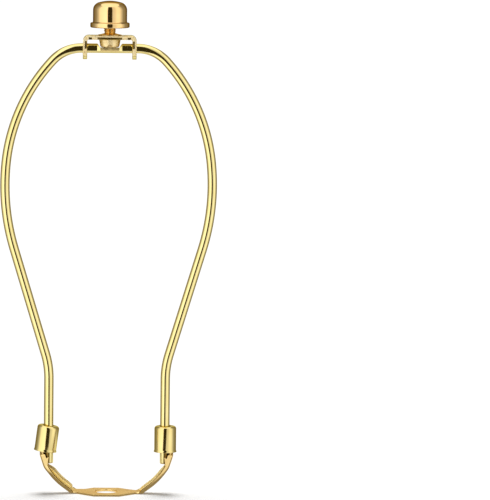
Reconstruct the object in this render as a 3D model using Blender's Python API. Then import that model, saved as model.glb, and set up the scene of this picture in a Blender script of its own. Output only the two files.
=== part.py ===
# Lamp harp: a wire bow that stands in a folded saddle, with a swivelling strap and a screwed finial on top.
# Metres, +Z up, +X along the width of the bow. The origin is on the axis of the socket hole,
# on the underside of the saddle.

import math

import bmesh
import bpy
from mathutils import Vector

# Overall
HARP_HEIGHT = 0.2286
FIT_GAP = 0.0003

# Bow wire
WIRE_DIAMETER = 0.0047
LEG_SPACING = 0.0579
CROWN_MARGIN = 0.0007
SHOULDER_RADIUS = 0.0192
SHOULDER_TURN = math.radians(47.5)
UPPER_SIDE_RADIUS = 0.0881
UPPER_SIDE_TURN = math.radians(36.5)
LOWER_SIDE_RADIUS = 0.1095
FLARE_ANGLE = math.radians(16.84)
LEG_BEND_RADIUS = 0.0426
WIRE_END_CHAMFER = 0.0005
END_BEVEL = 0.0020

# Pressed seat on the crown of the wire
SEAT_HEIGHT = 0.00025
SEAT_SPREAD = 0.00055
SEAT_MARGIN = 0.0007
SEAT_RAMP = 0.0015

# Saddle plate
SHEET = 0.0009
PLATE_DEPTH = 0.0232
PLATE_EDGE = 0.0126
PLATE_LENGTH = 0.0290
SOCKET_HOLE = 0.0111

# Saddle arms, from the plate to the tip
BASE_BEND_RADIUS = 0.0030
BASE_BEND_TURN = math.radians(36.0)
ARM_RUN = 0.0038
ARM_CURVE_RADIUS = 0.0340
ARM_CURVE_TURN = math.radians(21.0)
CROOK_RADIUS = 0.0098
CROOK_TURN = math.radians(15.0)
SPLAY_RUN = 0.0044
TIP_BEND_RADIUS = 0.0060
TROUGH_LENGTH = 0.0105

# Folds of the arms
FOLD_RADIUS = 0.0005
FOLD_ANGLE = math.radians(80.0)
NECK_LIP = 0.0003
BASE_FLANGE = 0.0023
CROOK_FLANGE = 0.0025
TAB_HEIGHT = 0.0051
TAB_RUN = 0.0059
TAB_DROP = 0.0011
TAB_END = 0.00025
NOTCH_WALL = 0.0030
NOTCH_RISE = 0.0003
RELIEF_REACH = 0.00325
RELIEF_DROP = 0.0023
RELIEF_LEAN = math.radians(31.0)
RELIEF_WALL = 0.0022
RELIEF_TOP = 0.0008
TROUGH_RADIUS = 0.0039
TROUGH_WRAP = math.radians(49.0)
TROUGH_FLAT = 0.00015
TROUGH_PLAY = 0.00105

# Twist of the arms about their front edges
LEFT_TWIST = math.radians(17.0)
RIGHT_TWIST = math.radians(5.0)
TWIST_START = 0.0100
TWIST_RISE = 0.0040
TWIST_HOLD = 0.0089
TWIST_FALL = 0.0060

# Locking ferrules
FERRULE_HEIGHT = 0.0130
FERRULE_RISE = 0.0009
FERRULE_WALL = 0.0011
FERRULE_TOP = 0.0010
FERRULE_SHOULDER = 0.0013
FERRULE_LIP = 0.00025
FERRULE_FLARE = 0.0007
FERRULE_OFFSET = 0.00025
LEFT_SHIFT = 0.00055
LEFT_LEAN = math.radians(7.5)

# Swivel bracket
STRAP_SHEET = 0.0021
STRAP_WIDTH = 0.0265
STRAP_DEPTH = 0.0110
STRAP_BEND = 0.0028
STRAP_DROP = 0.0065
STRAP_EDGE = 0.0004

# Finial stud
THREAD_DIAMETER = 0.0062
THREAD_CHAMFER = 0.0006
STUD_HEIGHT = 0.0119
TENON_DIAMETER = 0.0052
HEAD_DIAMETER = 0.0106
HEAD_FOOT = 0.0096
HEAD_ROUND = 0.0010
HEAD_NOTCH = 0.0030
NOTCH_DEPTH = 0.0022
CONE_DIAMETER = 0.0116
CONE_HEIGHT = 0.0012
CONE_EDGE = 0.0003

# Finial
FINIAL_LIFT = 0.0037
RIM_DIAMETER = 0.0195
RIM_HEIGHT = 0.0026
RIM_ROUND = 0.0007
DOME_DIAMETER = 0.0169
DOME_HEIGHT = 0.0133
DOME_ROUND = 0.0040
CROWN_RADIUS = 0.0200
LEDGE_ROUND = 0.0005
SHELL = 0.0008
HUB_DIAMETER = 0.0100
HUB_HEIGHT = 0.0085
DISC_THICKNESS = 0.0015
BORE_CHAMFER = 0.0003

# Facets
WIRE_SIDES = 20
ROUND_SEGMENTS = 40
FOLD_STEPS = 4
SPAN_STEPS = 3
CORNER_STEPS = 5
EAR_STEPS = 6
BEND_STEP = math.radians(5.0)
SHARP_ANGLE = math.radians(35.0)
MERGE_DISTANCE = 1e-7
STATION_GAP = 1e-6
CUT_MARGIN = 0.0010

# Worked-out places
WIRE_RADIUS = WIRE_DIAMETER / 2
LEG_X = LEG_SPACING / 2
CROWN_Z = HARP_HEIGHT - STRAP_DROP
CROWN_HALF = STRAP_WIDTH / 2 + CROWN_MARGIN
STRAP_UNDERSIDE = HARP_HEIGHT - STRAP_SHEET
TIP_X = LEG_X + WIRE_RADIUS + TROUGH_PLAY + SHEET
CHANNEL_HALF = WIRE_RADIUS + FIT_GAP + SHEET
SEAT_HALF = HEAD_FOOT / 2 - HEAD_ROUND + SEAT_MARGIN
FERRULE_X = LEG_X + FERRULE_OFFSET
FINIAL_Z = HARP_HEIGHT + FINIAL_LIFT
THREAD_RADIUS = THREAD_DIAMETER / 2


def clear_scene():
    """Remove whatever the scene holds."""
    for item in list(bpy.data.objects):
        bpy.data.objects.remove(item, do_unlink=True)


def metal(name, colour, roughness):
    """A plated metal surface."""
    material = bpy.data.materials.new(name)
    material.use_nodes = True
    shader = material.node_tree.nodes["Principled BSDF"]
    shader.inputs["Base Color"].default_value = (*colour, 1.0)
    shader.inputs["Metallic"].default_value = 1.0
    shader.inputs["Roughness"].default_value = roughness
    return material


def empty(name, location, parent=None):
    """A pivot that carries the pieces of a moving part."""
    pivot = bpy.data.objects.new(name, None)
    pivot.empty_display_size = WIRE_DIAMETER
    bpy.context.scene.collection.objects.link(pivot)
    set_place(pivot, location, parent)
    return pivot


def set_place(item, location, parent):
    """Put an object at a place given in the world, under its parent."""
    item.parent = parent
    shift = parent.matrix_world.translation if parent else Vector()
    item.location = Vector(location) - shift
    bpy.context.view_layer.update()


def add_piece(name, bm, material, location=(0, 0, 0), parent=None):
    """Turn a mesh modelled about its own origin into a named object."""
    bmesh.ops.recalc_face_normals(bm, faces=bm.faces)
    mesh = bpy.data.meshes.new(name)
    bm.to_mesh(mesh)
    bm.free()
    mesh.shade_smooth()
    mesh.set_sharp_from_angle(angle=SHARP_ANGLE)
    mesh.materials.append(material)
    piece = bpy.data.objects.new(name, mesh)
    bpy.context.scene.collection.objects.link(piece)
    set_place(piece, location, parent)
    return piece


def cut_round(piece, name, radius, length, centre, axis):
    """Cut a round hole of this radius and length, centred on a place, along an axis."""
    bm = bmesh.new()
    turn = Vector((0, 0, 1)).rotation_difference(Vector(axis)).to_matrix().to_4x4()
    bmesh.ops.create_cone(bm, cap_ends=True, segments=ROUND_SEGMENTS, radius1=radius, radius2=radius,
                          depth=length, matrix=turn)
    cut_with(piece, add_piece(name, bm, piece.data.materials[0], centre, piece.parent))


def cut_with(piece, cutter):
    """Take a cutter's volume out of a piece."""
    cutter.hide_render = True
    cutter.display_type = "WIRE"
    cut = piece.modifiers.new(cutter.name, "BOOLEAN")
    cut.operation = "DIFFERENCE"
    cut.object = cutter


def cut_relief(piece, name, side):
    """Cut the V-shaped relief between the trough and the tabs, through both flanges of an arm."""
    seat = trough_seat()
    apex = (TIP_X - RELIEF_REACH, seat - RELIEF_DROP)
    inside = TIP_X - TAB_HEIGHT - CUT_MARGIN
    top = seat + RELIEF_TOP
    rim = apex[1] + (apex[0] - inside) * math.tan(RELIEF_LEAN)
    shape = [apex, (TIP_X - RELIEF_WALL, top), (inside, top), (inside, rim)]
    depth = CHANNEL_HALF + CUT_MARGIN
    bm, loops = skin([[Vector((side * x, y, z)) for x, z in shape] for y in (-depth, depth)])
    rod_ends(bm, loops)
    cut_with(piece, add_piece(name, bm, piece.data.materials[0]))


def corner(centre, radius, start, end, steps=CORNER_STEPS):
    """Points of an arc round a centre, from one angle in degrees to another."""
    angles = [math.radians(start + (end - start) * i / steps) for i in range(steps + 1)]
    return [(centre[0] + radius * math.cos(a), centre[1] + radius * math.sin(a)) for a in angles]


def revolve(outline, closed):
    """Turn an outline of (radius, height) points round the Z axis."""
    bm = bmesh.new()
    verts = [bm.verts.new((radius, 0, height)) for radius, height in outline]
    ends = zip(verts, verts[1:] + verts[:1]) if closed else zip(verts, verts[1:])
    edges = [bm.edges.new(pair) for pair in ends]
    bmesh.ops.spin(bm, geom=verts + edges, cent=(0, 0, 0), axis=(0, 0, 1), angle=math.tau,
                   steps=ROUND_SEGMENTS, use_merge=True)
    bmesh.ops.remove_doubles(bm, verts=bm.verts, dist=MERGE_DISTANCE)
    return bm


def follow(start, heading, pieces):
    """Stations (distance, place, heading) along runs and arcs in the XZ plane.

    A piece is (length,) for a run or (radius, turn) for an arc, which turns left where turn is positive.
    """
    place = Vector((start[0], 0, start[1]))
    distance = 0.0
    stations = [(distance, place.copy(), heading)]
    for piece in pieces:
        if len(piece) == 1:
            place += piece[0] * along(heading)
            distance += piece[0]
            stations.append((distance, place.copy(), heading))
            continue
        radius, turn = piece
        side = math.copysign(1, turn)
        centre = place + side * radius * across(heading)
        steps = max(2, math.ceil(abs(turn) / BEND_STEP))
        for _ in range(steps):
            heading += turn / steps
            distance += radius * abs(turn) / steps
            place = centre - side * radius * across(heading)
            stations.append((distance, place.copy(), heading))
    return stations


def along(heading):
    """Unit vector of a heading in the XZ plane."""
    return Vector((math.cos(heading), 0, math.sin(heading)))


def across(heading):
    """Unit vector to the left of a heading in the XZ plane."""
    return Vector((-math.sin(heading), 0, math.cos(heading)))


def refine(stations, distances):
    """The stations with one more at each of the distances, which lie between two of them."""
    full = list(stations)
    for distance in distances:
        before = max((s for s in full if s[0] <= distance), key=lambda s: s[0])
        after = min((s for s in full if s[0] > distance), key=lambda s: s[0])
        if min(distance - before[0], after[0] - distance) < STATION_GAP:
            continue
        part = (distance - before[0]) / (after[0] - before[0])
        place = before[1].lerp(after[1], part)
        full.append((distance, place, before[2] + (after[2] - before[2]) * part))
        full.sort(key=lambda s: s[0])
    return full


def mirrored(stations):
    """A path from its mirror image's far end, over its start, to its own far end."""
    left = [(-d, Vector((-p.x, p.y, p.z)), -h) for d, p, h in reversed(stations)]
    return left[:-1] + stations


def ramp(value, start, end):
    """0 before start, 1 after end, straight between."""
    return min(1.0, max(0.0, (value - start) / (end - start)))


def mix(first, second, part):
    """Blend of two sets of numbers."""
    return tuple(a + (b - a) * part for a, b in zip(first, second))


def skin(rings):
    """Faces between rings of points with the same count."""
    bm = bmesh.new()
    loops = [[bm.verts.new(point) for point in ring] for ring in rings]
    count = len(rings[0])
    for near, far in zip(loops, loops[1:]):
        for i in range(count):
            j = (i + 1) % count
            bm.faces.new((near[i], near[j], far[j], far[i]))
    return bm, loops


def rod_ends(bm, loops):
    """Close a skin at both ends with one face each."""
    bm.faces.new(loops[0])
    bm.faces.new(loops[-1])


def sheet_ends(bm, loops):
    """Close a folded sheet at both ends with a row of faces from its outer to its inner side."""
    for loop in (loops[0], loops[-1]):
        last = len(loop) - 1
        for i in range(len(loop) // 2 - 1):
            bm.faces.new((loop[i], loop[i + 1], loop[last - i - 1], loop[last - i]))


def arm_path():
    """Outer face of the right half of the saddle, from the middle of the plate to the tip."""
    upright = math.pi / 2
    tip_turn = upright - BASE_BEND_TURN - ARM_CURVE_TURN - CROOK_TURN
    pieces = [(BASE_BEND_RADIUS, BASE_BEND_TURN), (ARM_RUN,), (ARM_CURVE_RADIUS, ARM_CURVE_TURN),
              (CROOK_RADIUS, CROOK_TURN), (SPLAY_RUN,), (TIP_BEND_RADIUS, tip_turn), (TROUGH_LENGTH,)]
    reach = follow((0, 0), 0.0, pieces)[-1][1].x
    flat = TIP_X - reach
    return flat, follow((0, 0), 0.0, [(flat,)] + pieces)


def folded_section(place, heading, sizes, twist):
    """Outline of the sheet across the arm: flat middle, two folds and two straight lips.

    A twist turns the section about its front edge, which lifts the rear one.
    """
    flat, fold, angle, lip = sizes
    middle = [(0.0, SHEET / 2, 0.0), (flat, SHEET / 2, 0.0)]
    step = angle / FOLD_STEPS
    for _ in range(FOLD_STEPS):
        y, n, a = middle[-1]
        chord = fold / FOLD_STEPS
        middle.append((y + chord * math.cos(a + step / 2), n + chord * math.sin(a + step / 2), a + step))
    y, n, a = middle[-1]
    middle.append((y + lip * math.cos(a), n + lip * math.sin(a), a))
    half = SHEET / 2
    outer = [(y + half * math.sin(a), n - half * math.cos(a)) for y, n, a in middle]
    inner = [(y - half * math.sin(a), n + half * math.cos(a)) for y, n, a in middle]
    outer = [(-y, n) for y, n in reversed(outer[1:])] + outer
    inner = [(-y, n) for y, n in reversed(inner[1:])] + inner
    up = across(heading)
    front = max(y for y, _ in outer)
    ring = []
    for y, n in outer + inner[::-1]:
        reach = y + front
        side = reach * math.cos(twist) - n * math.sin(twist) - front
        lift = reach * math.sin(twist) + n * math.cos(twist)
        ring.append(place + Vector((0, side, 0)) + lift * up)
    return ring


def twist_spans(bend_end):
    """Distances over which the twist of an arm grows and fades."""
    top = bend_end + TWIST_RISE
    fall = top + TWIST_HOLD
    return (TWIST_START, top), (fall, fall + TWIST_FALL)


def section_twist(distance, bend_end):
    """Twist of an arm at a signed distance from the middle of the plate."""
    turn = LEFT_TWIST if distance < 0 else RIGHT_TWIST
    rise, fall = twist_spans(bend_end)
    return turn * ramp(abs(distance), *rise) * (1 - ramp(abs(distance), *fall))


def channel_sizes(flange):
    """Section of the channel with flanges of this height."""
    fold_mid = FOLD_RADIUS + SHEET / 2
    half = CHANNEL_HALF - SHEET / 2 - fold_mid
    return half, fold_mid * FOLD_ANGLE, FOLD_ANGLE, flange - SHEET / 2 - fold_mid


def section_sizes(distance, bend_end, tip):
    """Flat, fold, fold angle and lip of the sheet at a distance from the middle of the plate."""
    distance = abs(distance)
    tab = tip - TAB_DROP
    fold = (FOLD_RADIUS + SHEET / 2) * math.pi / 2
    neck = (CHANNEL_HALF - fold - NECK_LIP, fold, 0.0, NECK_LIP)
    plate = (PLATE_DEPTH / 2 - fold - NECK_LIP, fold, 0.0, NECK_LIP)
    trough = (TROUGH_FLAT, (TROUGH_RADIUS - SHEET / 2) * TROUGH_WRAP, TROUGH_WRAP, NECK_LIP)
    sizes = mix(plate, neck, ramp(distance, PLATE_EDGE / 2, PLATE_LENGTH / 2))
    sizes = mix(sizes, channel_sizes(BASE_FLANGE), ramp(distance, PLATE_LENGTH / 2, bend_end))
    sizes = mix(sizes, channel_sizes(CROOK_FLANGE), ramp(distance, bend_end, tab - TAB_RUN))
    sizes = mix(sizes, channel_sizes(TAB_HEIGHT), ramp(distance, tab - TAB_RUN, tab))
    sizes = mix(sizes, channel_sizes(NOTCH_WALL), ramp(distance, tab, tab + TAB_END))
    return mix(sizes, trough, ramp(distance, tab + TAB_END, tip + NOTCH_RISE))


def saddle_marks(bend_end, tip):
    """Distances at which the saddle's sheet changes its shape."""
    spans = [(PLATE_EDGE / 2, PLATE_LENGTH / 2), (PLATE_LENGTH / 2, bend_end), *twist_spans(bend_end)]
    tab = tip - TAB_DROP
    spans.append((tab + TAB_END, tip + NOTCH_RISE))
    steps = range(SPAN_STEPS + 1)
    marks = [start + (end - start) * i / SPAN_STEPS for start, end in spans for i in steps]
    return marks + [tab - TAB_RUN, tab]


def build_saddle(material):
    """One stamped sheet: plate with the socket hole, necks, twisted channel arms and troughs."""
    flat_run, path = arm_path()
    bend_end = flat_run + BASE_BEND_RADIUS * BASE_BEND_TURN
    tip = path[-2][0]
    path = mirrored(refine(path, saddle_marks(bend_end, tip)))
    rings = []
    for distance, place, heading in path:
        sizes = section_sizes(distance, bend_end, tip)
        rings.append(folded_section(place, heading, sizes, section_twist(distance, bend_end)))
    bm, loops = skin(rings)
    sheet_ends(bm, loops)
    saddle = add_piece("harp_saddle", bm, material)
    height = SHEET + 2 * CUT_MARGIN
    cut_round(saddle, "socket_hole_cutter", SOCKET_HOLE / 2, height, (0, 0, SHEET / 2), (0, 0, 1))
    cut_relief(saddle, "left_relief_cutter", -1)
    cut_relief(saddle, "right_relief_cutter", 1)


def trough_seat():
    """Height at which the arms' tips become plain troughs."""
    return arm_path()[1][-2][1].z


def inner_face():
    """Places on the inner face of the right arm, from the middle of the plate to the tip."""
    return [place + SHEET * across(heading) for _, place, heading in arm_path()[1]]


def wire_end():
    """Lowest height of the wire, whose outer side is bevelled to clear the arm's crook."""
    limit = LEG_X + WIRE_RADIUS + FIT_GAP
    inner = inner_face()
    below, above = next((a, b) for a, b in zip(inner, inner[1:]) if a.x < limit <= b.x)
    return below.lerp(above, (limit - below.x) / (above.x - below.x)).z - END_BEVEL


def bevel_depth():
    """How far the bevel cuts into the wire's outer side at its end."""
    height = wire_end()
    inner = inner_face()
    below, above = next((a, b) for a, b in zip(inner, inner[1:]) if a.z < height <= b.z)
    face = below.lerp(above, (height - below.z) / (above.z - below.z)).x
    return LEG_X + WIRE_RADIUS + FIT_GAP - face


def side_runs():
    """Runs and bends of the right half of the wire, from the middle of the crown down to its leg."""
    upright_turn = math.pi / 2 - SHOULDER_TURN - UPPER_SIDE_TURN
    crown = [(CROWN_HALF,), (SHOULDER_RADIUS, -SHOULDER_TURN), (UPPER_SIDE_RADIUS, -UPPER_SIDE_TURN),
             (LOWER_SIDE_RADIUS, -upright_turn), (LOWER_SIDE_RADIUS, -FLARE_ANGLE)]
    side = follow((0, CROWN_Z), 0.0, crown)[-1][1]
    bend = LEG_BEND_RADIUS * (1 - math.cos(FLARE_ANGLE))
    flare = (side.x - LEG_X - bend) / math.sin(FLARE_ANGLE)
    return crown + [(flare,), (LEG_BEND_RADIUS, FLARE_ANGLE)]


def knee_height():
    """Height at which the leg starts to bend outwards."""
    return follow((0, CROWN_Z), 0.0, side_runs())[-1][1].z


def leg_drift(height):
    """How far outwards the wire has bent from the axis of its leg at a height."""
    rise = max(0.0, height - knee_height())
    turn = math.asin(min(rise / LEG_BEND_RADIUS, math.sin(FLARE_ANGLE)))
    flare = rise - LEG_BEND_RADIUS * math.sin(turn)
    return LEG_BEND_RADIUS * (1 - math.cos(turn)) + flare * math.tan(FLARE_ANGLE)


def bow_path():
    """Axis of the right half of the wire, from the middle of the crown to the leg's end."""
    leg = knee_height() - wire_end() - WIRE_END_CHAMFER
    return follow((0, CROWN_Z), 0.0, side_runs() + [(leg,), (WIRE_END_CHAMFER,)])


def wire_ring(place, heading, radius, top, spread):
    """Points round the wire, cut flat at a height on its outer side and widened by a factor."""
    up = across(heading)
    ring = []
    for i in range(WIRE_SIDES):
        angle = math.tau * i / WIRE_SIDES
        height = min(radius * math.cos(angle), top)
        ring.append(place + Vector((0, spread * radius * math.sin(angle), 0)) + height * up)
    return ring


def build_wire(material):
    """The bow, one bent wire with a pressed seat in the middle of its crown."""
    path = bow_path()
    end = path[-1][0]
    path = mirrored(refine(path, [SEAT_HALF, SEAT_HALF + SEAT_RAMP, end - END_BEVEL]))
    last = len(path) - 1
    depth = bevel_depth()
    rings = []
    for i, (distance, place, heading) in enumerate(path):
        pressed = 1 - ramp(abs(distance), SEAT_HALF, SEAT_HALF + SEAT_RAMP)
        radius = WIRE_RADIUS - (WIRE_END_CHAMFER if i in (0, last) else 0)
        bevel = depth * ramp(abs(distance), end - END_BEVEL, end)
        top = WIRE_RADIUS + (SEAT_HEIGHT - WIRE_RADIUS) * pressed - bevel
        rings.append(wire_ring(place, heading, radius, top, 1 + SEAT_SPREAD / WIRE_RADIUS * pressed))
    bm, loops = skin(rings)
    rod_ends(bm, loops)
    add_piece("harp_wire", bm, material)


def ferrule_radii():
    """Bore and top hole of a ferrule: they clear the trough and the wire, also where it leans."""
    slope = math.tan(LEFT_LEAN)
    left = FERRULE_OFFSET + LEFT_SHIFT
    foot = left + FERRULE_HEIGHT / 2 * slope
    trough_reach = TIP_X - FERRULE_X
    offsets = [FERRULE_OFFSET, abs(left - FERRULE_HEIGHT / 2 * slope)]
    offsets.append(abs(left - (FERRULE_HEIGHT / 2 - FERRULE_TOP) * slope))
    reach = WIRE_RADIUS + max(offsets) + leg_drift(trough_seat() + FERRULE_RISE + FERRULE_HEIGHT)
    bore = max(trough_reach, WIRE_RADIUS + foot, reach + FIT_GAP) + FIT_GAP
    return bore, reach + FIT_GAP


def ferrule_outline():
    """Wall of the drawn cup, open below, with a rounded shoulder and a hole in its top."""
    bore, hole = ferrule_radii()
    outer = bore + FERRULE_WALL
    top = FERRULE_HEIGHT / 2
    shoulder = corner((outer - FERRULE_SHOULDER, top - FERRULE_SHOULDER), FERRULE_SHOULDER, 90, 0)
    lip = [(outer, -top + FERRULE_FLARE), (outer + FERRULE_LIP, -top)]
    inside = [(bore, -top), (bore, top - FERRULE_TOP), (hole, top - FERRULE_TOP), (hole, top)]
    return shoulder + lip + inside


def build_ferrules(material):
    """The two locking sleeves: the right one stands straight, the left one sits askew."""
    middle = trough_seat() + FERRULE_RISE + FERRULE_HEIGHT / 2
    places = [("left_ferrule", -FERRULE_X - LEFT_SHIFT, LEFT_LEAN), ("right_ferrule", FERRULE_X, 0.0)]
    for name, x, lean in places:
        sleeve = add_piece(name, revolve(ferrule_outline(), closed=True), material, (x, 0, middle))
        sleeve.rotation_euler.y = lean


def strap_ring(place, heading, half_depth):
    """Outline of the strap's section with broken edges, from its outer to its inner face."""
    inward = -across(heading)
    e = STRAP_EDGE
    flat = half_depth - e
    shape = [(-flat, 0), (flat, 0), (half_depth, e), (half_depth, STRAP_SHEET - e), (flat, STRAP_SHEET),
             (-flat, STRAP_SHEET), (-half_depth, STRAP_SHEET - e), (-half_depth, e)]
    return [place + Vector((0, y, 0)) + n * inward for y, n in shape]


def build_bracket(material, pivot):
    """The strap over the crown, bent down at both ends into round-ended ears."""
    end_radius = STRAP_DEPTH / 2
    run = STRAP_WIDTH / 2 - STRAP_BEND
    bend = follow((0, STRAP_DROP), 0.0, [(run,), (STRAP_BEND, -math.pi / 2)])
    path = [(p, h, end_radius) for _, p, h in bend]
    for i in range(EAR_STEPS):
        angle = math.pi / 2 * (1 - i / EAR_STEPS)
        place = Vector((STRAP_WIDTH / 2, 0, -end_radius * math.cos(angle)))
        path.append((place, -math.pi / 2, end_radius * math.sin(angle)))
    left = [(Vector((-p.x, 0, p.z)), -h, half) for p, h, half in reversed(path)]
    rings = [strap_ring(*station) for station in left[:-1] + path]
    bm, loops = skin(rings)
    rod_ends(bm, loops)
    bracket = add_piece("swivel_bracket", bm, material, pivot.location, pivot)
    eye = WIRE_RADIUS + FIT_GAP
    width = STRAP_WIDTH + 2 * CUT_MARGIN
    cut_round(bracket, "ear_hole_cutter", eye, width, pivot.location, (1, 0, 0))
    hole = TENON_DIAMETER / 2 + FIT_GAP
    centre = (0, 0, HARP_HEIGHT - STRAP_SHEET / 2)
    cut_round(bracket, "tenon_hole_cutter", hole, STRAP_SHEET + 2 * CUT_MARGIN, centre, (0, 0, 1))


def stud_outline():
    """Half outline of the stud, from the middle of its head's underside up to its tip."""
    foot = SEAT_HEIGHT + FIT_GAP
    neck = STRAP_UNDERSIDE - FIT_GAP - CROWN_Z
    base = STRAP_DROP + FIT_GAP
    tip = STRAP_DROP + STUD_HEIGHT
    tenon = TENON_DIAMETER / 2
    head = [(0, foot)] + corner((HEAD_FOOT / 2 - HEAD_ROUND, foot + HEAD_ROUND), HEAD_ROUND, -90, 0)
    head += [(HEAD_DIAMETER / 2, neck), (tenon, neck), (tenon, base)]
    cone = [(CONE_DIAMETER / 2, base), (CONE_DIAMETER / 2, base + CONE_EDGE)]
    cone.append((THREAD_RADIUS, base + CONE_HEIGHT))
    end = [(THREAD_RADIUS, tip - THREAD_CHAMFER), (THREAD_RADIUS - THREAD_CHAMFER, tip), (0, tip)]
    return head + cone + end


def build_stud(material, pivot):
    """The stud riveted through the strap, with an arched notch in each side of its head."""
    stud = add_piece("finial_stud", revolve(stud_outline(), closed=False), material, pivot.location, pivot)
    length = HEAD_DIAMETER / 2
    middle = HEAD_FOOT / 2 - NOTCH_DEPTH + length / 2
    height = CROWN_Z + SEAT_HEIGHT + FIT_GAP
    for name, side in (("front_notch_cutter", -1), ("rear_notch_cutter", 1)):
        cut_round(stud, name, HEAD_NOTCH / 2, length, (0, side * middle, height), (0, 1, 0))


def insert_outline():
    """Tapped hub on a disc that fills the rim."""
    bore = THREAD_RADIUS + FIT_GAP
    disc = RIM_DIAMETER / 2 - SHELL - FIT_GAP
    hub = HUB_DIAMETER / 2
    inside = [(bore, HUB_HEIGHT), (bore, BORE_CHAMFER), (bore + BORE_CHAMFER, 0)]
    return inside + [(disc, 0), (disc, DISC_THICKNESS), (hub, DISC_THICKNESS), (hub, HUB_HEIGHT)]


def cap_outline():
    """Half outline of the drawn shell, from the crown down over the rim and back up inside."""
    dome = DOME_DIAMETER / 2
    rim = RIM_DIAMETER / 2
    wall = dome - DOME_ROUND
    middle = DOME_HEIGHT - CROWN_RADIUS
    shoulder = middle + math.sqrt((CROWN_RADIUS - DOME_ROUND) ** 2 - wall**2)
    tilt = math.degrees(math.asin(wall / (CROWN_RADIUS - DOME_ROUND)))
    crown = [(0, DOME_HEIGHT)] + corner((0, middle), CROWN_RADIUS, 90 - tilt / 3, 90 - 2 * tilt / 3, 1)
    outside = corner((wall, shoulder), DOME_ROUND, 90 - tilt, 0, 2 * CORNER_STEPS)
    ledge = corner((dome + LEDGE_ROUND, RIM_HEIGHT + LEDGE_ROUND), LEDGE_ROUND, 180, 270, 3)
    edge = corner((rim - RIM_ROUND, RIM_HEIGHT - RIM_ROUND), RIM_ROUND, 90, 0, 3)
    foot = corner((rim - RIM_ROUND, RIM_ROUND), RIM_ROUND, 0, -90, 3)
    recess = [(rim - SHELL, 0), (rim - SHELL, RIM_HEIGHT - SHELL), (dome - SHELL, RIM_HEIGHT - SHELL)]
    inside = corner((wall, shoulder), DOME_ROUND - SHELL, 0, 90 - tilt, CORNER_STEPS)
    return crown + outside + ledge + edge + foot + recess + inside + [(0, DOME_HEIGHT - SHELL)]


def build_finial(cap_material, insert_material, pivot):
    """The finial: a tapped insert in a drawn cap."""
    place = (0, 0, FINIAL_Z)
    axis = empty("finial_axis", place, pivot)
    add_piece("finial_insert", revolve(insert_outline(), closed=True), insert_material, place, axis)
    add_piece("finial_cap", revolve(cap_outline(), closed=False), cap_material, place, axis)


def main():
    """Model the whole harp."""
    clear_scene()
    satin = metal("satin_brass", (0.70, 0.52, 0.26), 0.32)
    polished = metal("polished_brass", (0.86, 0.70, 0.36), 0.12)
    warm = metal("warm_gold", (0.88, 0.63, 0.28), 0.10)
    turned = metal("turned_brass", (0.80, 0.52, 0.20), 0.22)
    build_saddle(satin)
    build_wire(polished)
    build_ferrules(polished)
    pivot = empty("swivel_axis", (0, 0, CROWN_Z))
    build_bracket(polished, pivot)
    build_stud(turned, pivot)
    build_finial(warm, turned, pivot)


main()
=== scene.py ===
# The looks of a lamp harp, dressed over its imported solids. Metres, +Z up, the camera looks along +Y.

import math

import bmesh
import bpy
from mathutils import Matrix, Vector


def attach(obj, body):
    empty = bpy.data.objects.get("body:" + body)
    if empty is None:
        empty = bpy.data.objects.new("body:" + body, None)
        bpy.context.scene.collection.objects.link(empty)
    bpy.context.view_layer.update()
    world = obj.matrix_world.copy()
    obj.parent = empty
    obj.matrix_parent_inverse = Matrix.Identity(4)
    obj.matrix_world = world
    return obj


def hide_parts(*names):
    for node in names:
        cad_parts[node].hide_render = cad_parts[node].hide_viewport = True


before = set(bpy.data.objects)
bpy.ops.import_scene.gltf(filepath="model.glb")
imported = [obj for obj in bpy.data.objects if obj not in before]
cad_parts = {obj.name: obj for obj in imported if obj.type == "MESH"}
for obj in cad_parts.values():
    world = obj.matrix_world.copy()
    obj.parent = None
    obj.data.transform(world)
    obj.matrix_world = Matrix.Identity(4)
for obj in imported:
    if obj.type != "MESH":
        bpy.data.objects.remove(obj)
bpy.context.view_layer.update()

# Overall
HARP_HEIGHT = 0.2286
FIT_GAP = 0.0003

# Bow wire
WIRE_DIAMETER = 0.0047
LEG_SPACING = 0.0579
CROWN_MARGIN = 0.0007
SHOULDER_RADIUS = 0.0192
SHOULDER_TURN = math.radians(47.5)
UPPER_SIDE_RADIUS = 0.0881
UPPER_SIDE_TURN = math.radians(36.5)
LOWER_SIDE_RADIUS = 0.1095
FLARE_ANGLE = math.radians(16.84)
LEG_BEND_RADIUS = 0.0426
WIRE_END_CHAMFER = 0.0005
END_BEVEL = 0.0020
SEAT_HEIGHT = 0.00025
SEAT_SPREAD = 0.00055
SEAT_MARGIN = 0.0007
SEAT_RAMP = 0.0018

# Saddle
SHEET = 0.0009
SHEET_EASE = 0.00016
PLATE_DEPTH = 0.0232
PLATE_EDGE = 0.0126
PLATE_LENGTH = 0.0290
SOCKET_HOLE = 0.0111
BASE_BEND_RADIUS = 0.0030
BASE_BEND_TURN = math.radians(36.0)
ARM_RUN = 0.0038
ARM_CURVE_RADIUS = 0.0340
ARM_CURVE_TURN = math.radians(21.0)
CROOK_RADIUS = 0.0098
CROOK_TURN = math.radians(15.0)
SPLAY_RUN = 0.0044
TIP_BEND_RADIUS = 0.0060
TROUGH_LENGTH = 0.0105
FOLD_RADIUS = 0.0005
FOLD_ANGLE = math.radians(80.0)
NECK_LIP = 0.0003
BASE_FLANGE = 0.0023
CROOK_FLANGE = 0.0025
TAB_HEIGHT = 0.0051
TAB_RUN = 0.0059
TAB_DROP = 0.0011
TAB_END = 0.00025
NOTCH_WALL = 0.0030
NOTCH_RISE = 0.0003
RELIEF_REACH = 0.00325
RELIEF_DROP = 0.0023
RELIEF_LEAN = math.radians(31.0)
RELIEF_WALL = 0.0022
RELIEF_TOP = 0.0008
LEFT_TWIST = math.radians(17.0)
RIGHT_TWIST = math.radians(5.0)
TWIST_START = 0.0100
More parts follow.
